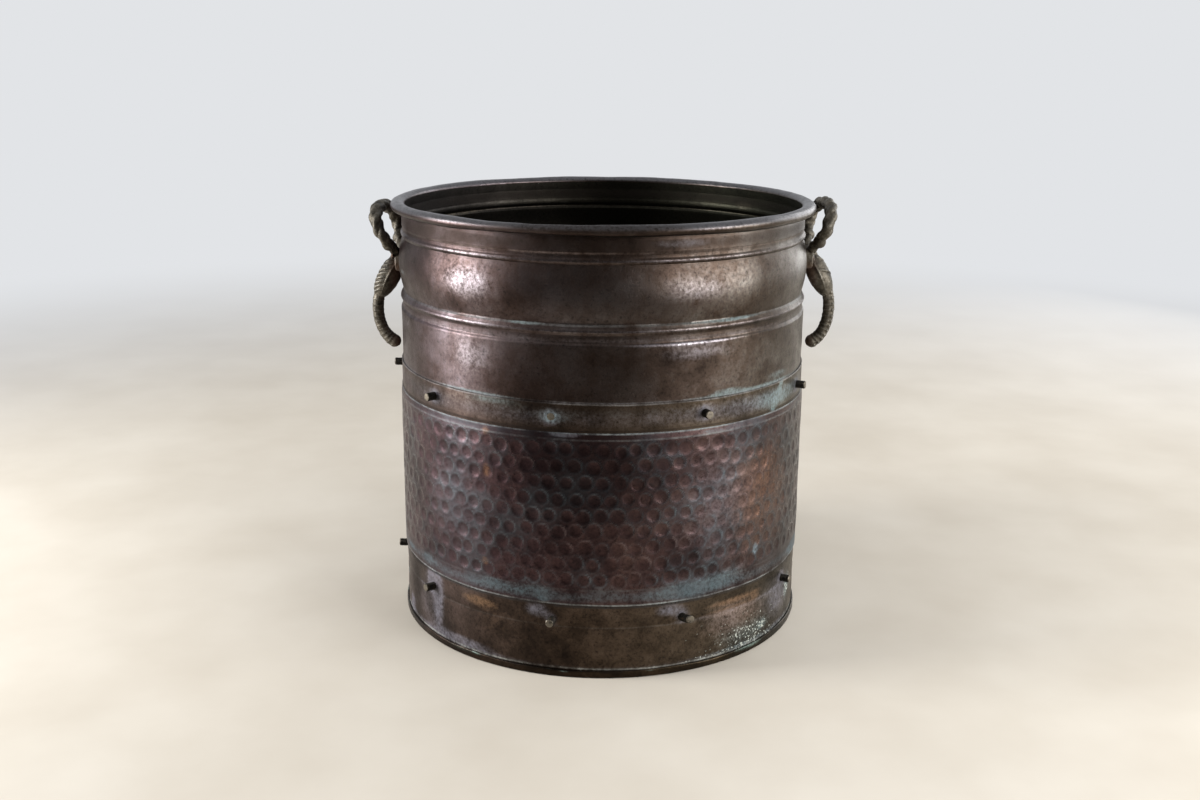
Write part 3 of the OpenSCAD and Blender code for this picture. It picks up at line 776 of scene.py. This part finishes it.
# ---- Studs -----------------------------------------------------------------------
# Steel screws with round heads inside the wall. Their threads stand out all round: whatever they
# held is gone. They are black with old oxide, and worn pale on the tips. One is broken off flush,
# and one in the lower row is bent to the side.
THREAD = 1.0 * MM
shank_r = 2.9 * MM
head_r = 4.5 * MM
stand_out = 7 * MM
stump = 0.5 * MM
under_two_sheets = 4.1 * MM
under_one_sheet = 2.5 * MM
bent_stud = "lower_stud_4"


def blackened_steel(tree):
    """Black-oxide steel, rusty in the thread and rubbed grey on the crests and the tip."""
    place = add(tree, "TexCoord", output=3)
    patch = add(tree, "TexNoise", {"Vector": place, "Scale": 1 / 0.003, "Detail": 6.0, "Roughness": 0.7})
    crest = add(tree, "Attribute", attribute_name="crest", output=2)
    lifted = add(tree, "Math", {0: crest, 1: patch}, operation="MULTIPLY")
    bright = add(tree, "MapRange", {0: lifted, 1: 0.25, 2: 0.55, 3: 0.0, 4: 1.0})
    dark = add(tree, "ValToRGB", {0: patch}, [(0.35, "161412"), (0.6, "2c2823"), (0.72, "4b3524")])
    colour = add(tree, "MixRGB", {0: bright, 1: dark, 2: paint("6c655a")})
    rough = add(tree, "MapRange", {0: bright, 1: 0.0, 2: 1.0, 3: 0.65, 4: 0.48})
    bump = add(tree, "Bump", {"Height": patch, "Strength": 0.4, "Distance": 0.1 * MM})
    return add(tree, "BsdfPrincipled", {
        "Base Color": colour, "Metallic": 0.85, "Roughness": rough, "Normal": bump})


stud_metal = material("blackened_steel", blackened_steel)


def screw(name, inside, outside, lean):
    """One screw along +Z: a round head inside the drum, and a thread that stands out of the wall."""
    line = [(1.2 * MM, inside), (head_r - 1.2 * MM, inside + 0.1 * MM)]
    line += [(head_r - 0.2 * MM, inside + 0.7 * MM), (head_r, inside + 1.2 * MM)]
    line += [(head_r, inside + 1.6 * MM), (shank_r - 0.3 * MM, inside + 1.6 * MM)]
    line += [(shank_r, z) for z in np.arange(drum_r - 0.6 * MM, outside - 0.5 * MM, THREAD / 6)]
    line += [(shank_r - 0.4 * MM, outside - 0.05 * MM), (shank_r - 0.8 * MM, outside), (0.8 * MM, outside)]
    piece = raise_sheet(name, line, 24, capped=True)
    place = points(piece)[0]
    round_z = np.arctan2(place[:, 1], place[:, 0]) / math.tau
    turns = place[:, 2] / THREAD - round_z
    ridge = np.abs(turns % 1 - 0.5) * 2
    threaded = (place[:, 2] > drum_r - 0.5 * MM) & (place[:, 2] < outside - 0.3 * MM)
    radius = np.maximum(np.hypot(place[:, 0], place[:, 1]), 0.01 * MM)
    place[:, :2] *= (1 - np.where(threaded, 0.45 * MM * (1 - ridge), 0) / radius)[:, None]
    place[:, 0] += lean * np.maximum(place[:, 2] - drum_r, 0) ** 2 / (outside - drum_r)
    # The crests and the tip are rubbed bright
    crest = np.where(threaded, 0.55 * ridge ** 3, 0.35)
    crest = crest + np.where(place[:, 2] > outside - 0.6 * MM, 0.7, 0)
    set_points(piece, place)
    layer = piece.data.attributes.new("crest", "FLOAT", "POINT")
    layer.data.foreach_set("value", crest.astype(np.float32))
    piece.data.materials.append(stud_metal)
    return piece


chance = random.Random(21)
for name, (at, z) in stud_places.items():
    outside = drum_r + (stump if name == broken_stud else stand_out)
    inside = drum_r - (under_two_sheets if name.startswith("upper") else under_one_sheet)
    lean = 0.5 if name == bent_stud else chance.uniform(-0.06, 0.06)
    piece = screw(name, inside, outside, lean)
    turn = Matrix.Rotation(at * TURN, 4, "Z") @ Matrix.Rotation(90 * TURN, 4, "X")
    piece.data.transform(Matrix.Translation((0, 0, z)) @ turn)
    smooth(piece, 50)
    hand_in(piece, "stud_steel", name)


# ---- Handles ---------------------------------------------------------------------
# Each handle is one bronze casting. Its loop is a twisted bar that leans away from the wall, and
# below the foot a ribbed leaf runs out into a ringed tail, which curls back to the wall.
foot_z = rim_top - 40 * MM
foot_x = wall_r(foot_z) + 4 * MM
pad_r = 7.3 * MM
pad_t = 8 * MM
pad_apart = 17 * MM
lean_up = Vector((math.sin(25 * TURN), 0, math.cos(25 * TURN)))
loop_start = Vector((foot_x - 2.5 * MM, 0, foot_z + 3 * MM))
loop_h = 38.5 * MM
loop_w = 25 * MM


def bezier(p, t):
    """A point on a cubic curve."""
    return [
        (1 - t) ** 3 * a + 3 * t * (1 - t) ** 2 * b + 3 * t * t * (1 - t) * c + t ** 3 * d
        for a, b, c, d in zip(*p)
    ]


# Half of the loop from its foot up, across the handle and along its lean
loop_curves = [
    [(4 * MM, -2 * MM), (9 * MM, 0.16 * loop_h), (loop_w + 1 * MM, 0.3 * loop_h), (loop_w, 0.6 * loop_h)],
    [(loop_w, 0.6 * loop_h), (loop_w - 0.7 * MM, 0.86 * loop_h), (0.56 * loop_w, loop_h), (0, loop_h)],
]
half = [bezier(c, k / 24) for c in loop_curves for k in range(24)] + [[0, loop_h]]
loop_path = [loop_start + Vector((0, y, 0)) + h * lean_up for y, h in half]
loop_path += [Vector((p.x, -p.y, p.z)) for p in reversed(loop_path[:-1])]
# The tail, outwards and up from the foot in millimetres: down from the wall, out, and back to it
tail_curves = [
    [(-2, 6), (2.5, 0), (3, -6), (8, -13)],
    [(8, -13), (13, -20), (16.5, -31), (15, -43)],
    [(15, -43), (14, -52), (9.5, -61), (1.5, -63.5)],
]
tail_places = [bezier(c, k / 16) for c in tail_curves for k in range(16)] + [tail_curves[-1][3]]
tail_path = [Vector((foot_x + x * MM, 0, foot_z + z * MM)) for x, z in tail_places]


def bar(path, radii):
    """A round bar along a path, with its radius at each point."""
    curve = bpy.data.curves.new("bar", "CURVE")
    curve.dimensions = "3D"
    curve.bevel_depth = 1.0
    curve.bevel_resolution = 5
    curve.use_fill_caps = True
    line = curve.splines.new("POLY")
    line.points.add(len(path) - 1)
    for point, place, radius in zip(line.points, path, radii):
        point.co = (*place, 1)
        point.radius = radius
    made = bpy.data.objects.new("bar", curve)
    bpy.context.scene.collection.objects.link(made)
    return made


def steps(path):
    """Length along the path at each of its points."""
    lengths = [0.0]
    for a, b in zip(path, path[1:]):
        lengths.append(lengths[-1] + (b - a).length)
    return lengths


def frame_at(path, i, side):
    """The path's direction at a point, and two directions across it."""
    ahead = (path[min(i + 1, len(path) - 1)] - path[max(i - 1, 0)]).normalized()
    across = side.cross(ahead).normalized()
    return ahead, across, ahead.cross(across).normalized()


casting = []
# The loop: a core with three strands twisted round it, thicker and flatter at the grip
twist = 34 * MM
knot_pitch = 8.5 * MM
loop_len = steps(loop_path)
core_r = [3.2 * MM + 1.1 * MM * math.sin(math.pi * s / loop_len[-1]) ** 2 for s in loop_len]
casting.append(bar(loop_path, [0.92 * r for r in core_r]))
for strand in range(3):
    path = []
    radii = []
    for i, s in enumerate(loop_len):
        _, across, over = frame_at(loop_path, i, Vector((1, 0, 0)))
        a = math.tau * (s / twist + strand / 3)
        grip = math.sin(math.pi * s / loop_len[-1]) ** 4
        off = core_r[i] * (0.46 - 0.14 * grip)
        path.append(loop_path[i] + off * (math.cos(a) * across + math.sin(a) * over))
        knots = (0.15 - 0.09 * grip) * math.sin(math.tau * s / knot_pitch + 2 * strand)
        radii.append(core_r[i] * (0.68 + 0.1 * grip) * (1 + knots))
    casting.append(bar(path, radii))
# A swelling low on each arm, where it turns in to the leaf
for i in (14, len(loop_path) - 15):
    bpy.ops.mesh.primitive_uv_sphere_add(
        segments=32, ring_count=24, radius=4.5 * MM, location=loop_path[i] + Vector((0.6, 0, 0)) * MM)
    casting.append(bpy.context.object)

# The tail: fine rings round it, a row of beads down one side, and a blunt rounded end
tail_len = steps(tail_path)
tail_r = []
for s in tail_len:
    share = s / tail_len[-1]
    swelling = 0.8 * MM * math.exp(-((share - 0.2) / 0.12) ** 2)
    tail_r.append(4.1 * MM + swelling + 0.5 * MM * ease(share, 0.8, 0.96))
casting.append(bar(tail_path[:-2], tail_r[:-2]))
bpy.ops.mesh.primitive_uv_sphere_add(
    segments=32, ring_count=24, radius=tail_r[-1] + 0.2 * MM, location=tail_path[-3])
casting.append(bpy.context.object)
for i in range(16, len(tail_path) - 2, 2):
    ahead, across, _ = frame_at(tail_path, i, Vector((0, 1, 0)))
    bpy.ops.mesh.primitive_torus_add(
        location=tail_path[i], rotation=ahead.to_track_quat("Z", "Y").to_euler(),
        major_radius=tail_r[i] - 0.36 * MM, minor_radius=0.62 * MM, major_segments=32, minor_segments=8)
    casting.append(bpy.context.object)
    outward = across if across.x > 0 else -across
    bpy.ops.mesh.primitive_uv_sphere_add(
        segments=12, ring_count=8, radius=1.0 * MM,
        location=tail_path[i] + tail_r[i] * (0.55 * outward - Vector((0, 0.84, 0))))
    casting.append(bpy.context.object)

# The leaf: a broad bud against the wall, with a vein on each side. One side is ribbed all the way
# up, and the other has two creases
ahead = (tail_path[22] - tail_path[4]).normalized()
leaf_out = ahead.cross(Vector((0, 1, 0))).normalized()
if leaf_out.x < 0:
    leaf_out = -leaf_out
leaf_turn = Matrix((leaf_out, Vector((0, 1, 0)), ahead)).transposed().to_4x4()
leaf_place = Matrix.Translation(tail_path[16] + Vector((-1.2, 0, 0)) * MM) @ leaf_turn
leaf_half = Vector((8.0, 8.4, 18)) * MM


def on_leaf(x, y, z):
    """A point on the leaf, from its place on a unit ball."""
    return leaf_place @ Vector((leaf_half.x * x, leaf_half.y * y, leaf_half.z * z))


bpy.ops.mesh.primitive_uv_sphere_add(segments=48, ring_count=32, radius=1)
leaf = bpy.context.object
leaf.data.transform(leaf_place @ Matrix.Diagonal((*leaf_half, 1)))
casting.append(leaf)
for side in (-1, 1):
    for k in range(8) if side > 0 else (0, 3):
        path = []
        for t in np.linspace(0.06, 0.97, 14):
            up = -0.86 + 0.2 * k + 0.5 * (1 - t) ** 1.3
            level = math.sqrt(max(0, 1 - up * up))
            turn = t * math.pi / 2
            path.append(on_leaf(level * math.cos(turn), side * level * math.sin(turn), up))
        swell = [math.sin(math.pi * (0.15 + 0.8 * j / 13)) for j in range(14)]
        casting.append(bar(path, [0.85 * MM * share for share in swell]))
    vein = [
        on_leaf(0.22 * (1 - t * t) - 0.2, side * math.sqrt(max(0, 0.94 - t * t)), t)
        for t in np.linspace(-0.86, 0.9, 20)
    ]
    casting.append(bar(vein, [0.85 * MM * (1.1 - abs(j - 8) / 14) for j in range(20)]))

# The foot, an oval pad on the wall
for end in (-1, 1):
    bpy.ops.mesh.primitive_cylinder_add(
        vertices=48, radius=pad_r, depth=pad_t, rotation=(0, 90 * TURN, 0),
        location=(foot_x - pad_t / 2, end * pad_apart / 2, foot_z))
    casting.append(bpy.context.object)
bpy.ops.mesh.primitive_cube_add(size=1, location=(foot_x - pad_t / 2, 0, foot_z))
bpy.context.object.scale = (pad_t, pad_apart, 2 * pad_r)
casting.append(bpy.context.object)

# All of it is fused as one casting, with a slightly rough skin
bpy.ops.object.select_all(action="DESELECT")
for part in casting:
    part.select_set(True)
bpy.context.view_layer.objects.active = casting[0]
bpy.ops.object.convert(target="MESH")
bpy.ops.object.join()
handle = bpy.context.object
bpy.ops.object.transform_apply()
handle.name = handle.data.name = "handle_right"
finish_with(handle, "REMESH", mode="VOXEL", voxel_size=0.42 * MM)
finish_with(handle, "SMOOTH", factor=0.5, iterations=4)
grain = bpy.data.textures.new("cast_grain", "CLOUDS")
grain.noise_scale = 3 * MM
finish_with(handle, "DISPLACE", texture=grain, texture_coords="LOCAL", strength=0.5 * MM, mid_level=0.5)
handle_left = handle.copy()
handle_left.data = handle.data.copy()
handle_left.name = handle_left.data.name = "handle_left"
bpy.context.scene.collection.objects.link(handle_left)
# The left one sits a little lower and closer, and its tail is a little shorter
left_shift = (1.5 * MM, 0, -4.2 * MM)
handle_left.data.transform(Matrix.Translation(left_shift) @ Matrix.Rotation(math.pi, 4, "Z"))
place = points(handle_left)[0]
place[:, 2] += 2.2 * MM * np.clip((foot_z - 14 * MM - place[:, 2]) / (48 * MM), 0, 1)
set_points(handle_left, place)
# Both loops lean in a little at the top, and their front arms stand out further than the rear ones
for piece, side, slant, lean_in in ((handle, -1, 0.12, 3.8 * MM), (handle_left, 1, 0.15, 3.0 * MM)):
    place = points(piece)[0]
    share_up = np.clip((place[:, 2] - foot_z) / (30 * MM), 0, 1)
    place[:, 0] += side * share_up * (slant * place[:, 1] + lean_in * share_up)
    set_points(piece, place)
# Their backs are cut to the shape of the wall
former_low = 190 * MM
former_line = [(wall_r(z) + 0.1 * MM, z) for z in np.arange(former_low, neck_top, 1.5 * MM)]
former_line = [(5 * MM, former_low)] + former_line + [(5 * MM, neck_top)]
former = raise_sheet("former", former_line, SIDES, capped=True)
hand_dents(former)
for piece in (handle, handle_left):
    finish_with(piece, "BOOLEAN", operation="DIFFERENCE", solver="EXACT", object=former)
bpy.data.objects.remove(former)


def cast_bronze(tree):
    """Cast bronze: olive-brown and matt in the hollows, paler and greyer where it is handled."""
    place = add(tree, "TexCoord", output=3)
    patch = add(tree, "TexNoise", {"Vector": place, "Scale": 1 / 0.011, "Detail": 7.0, "Roughness": 0.65})
    fine = add(tree, "TexNoise", {"Vector": place, "Scale": 1 / 0.0015, "Detail": 4.0, "Roughness": 0.7})
    tones = [(0.34, "3b372f"), (0.5, "67635a"), (0.62, "86827a"), (0.75, "a5a197")]
    colour = add(tree, "ValToRGB", {0: patch}, tones)
    ridge = add(tree, "NewGeometry", output=7)
    hollow = add(tree, "MapRange", {0: ridge, 1: 0.44, 2: 0.56, 3: 0.0, 4: 1.0}, **SOFT)
    tint = add(tree, "ValToRGB", {0: hollow}, [(0.0, "4a4236"), (0.5, "b4aca0"), (1.0, "ffffff")])
    colour = add(tree, "MixRGB", {0: 1.0, 1: colour, 2: tint}, blend_type="MULTIPLY")
    # Reddish brown against the wall, from the foot down
    flat = add(tree, "VectorMath", {0: place, 1: (1, 1, 0)}, operation="MULTIPLY")
    out_r = add(tree, "VectorMath", {0: flat}, operation="LENGTH", output=1)
    near = add(tree, "MapRange", {0: out_r, 1: 154 * MM, 2: 149 * MM, 3: 0.0, 4: 1.0})
    height = add(tree, "SeparateXYZ", {0: place}, output=2)
    under = add(tree, "MapRange", {0: height, 1: foot_z + 1 * MM, 2: foot_z - 7 * MM, 3: 0.0, 4: 1.0})
    near = add(tree, "Math", {0: near, 1: under}, operation="MULTIPLY")
    near = add(tree, "Math", {0: near, 1: patch}, operation="MULTIPLY", use_clamp=True)
    colour = add(tree, "MixRGB", {0: near, 1: colour, 2: paint("5f4436")})
    rough = add(tree, "MapRange", {0: fine, 1: 0.3, 2: 0.7, 3: 0.66, 4: 0.44})
    bump = add(tree, "Bump", {"Height": fine, "Strength": 0.5, "Distance": 0.15 * MM})
    return add(tree, "BsdfPrincipled", {
        "Base Color": colour, "Metallic": 0.6, "Roughness": rough, "Normal": bump})


bronze = material("cast_bronze", cast_bronze)
for piece, name in ((handle, "handle_right"), (handle_left, "handle_left")):
    piece.data.materials.clear()
    piece.data.materials.append(bronze)
    smooth(piece, 60)
    hand_in(piece, "cast_bronze", name)


# ---- Handle rivets ---------------------------------------------------------------
# Two copper rivets hold each handle's foot to the wall. Each has a domed head outside and is
# hammered flat on the inside. They are the CAD solids themselves, tarnished dull brown.
def rivet_copper(tree):
    """Copper rivet, tarnished brown, with a rubbed crown."""
    place = add(tree, "TexCoord", output=3)
    patch = add(tree, "TexNoise", {"Vector": place, "Scale": 1 / 0.004, "Detail": 6.0, "Roughness": 0.7})
    colour = add(tree, "ValToRGB", {0: patch}, [(0.35, "241c17"), (0.55, "4a3b31"), (0.72, "6b5a4c")])
    rough = add(tree, "MapRange", {0: patch, 1: 0.3, 2: 0.7, 3: 0.6, 4: 0.4})
    bump = add(tree, "Bump", {"Height": patch, "Strength": 0.5, "Distance": 0.2 * MM})
    return add(tree, "BsdfPrincipled", {
        "Base Color": colour, "Metallic": 0.9, "Roughness": rough, "Normal": bump})


rivet_metal = material("rivet_copper", rivet_copper)
for name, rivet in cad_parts.items():
    if name.startswith("handle_rivet"):
        rivet.data.materials.clear()
        rivet.data.materials.append(rivet_metal)

bpy.context.view_layer.update()
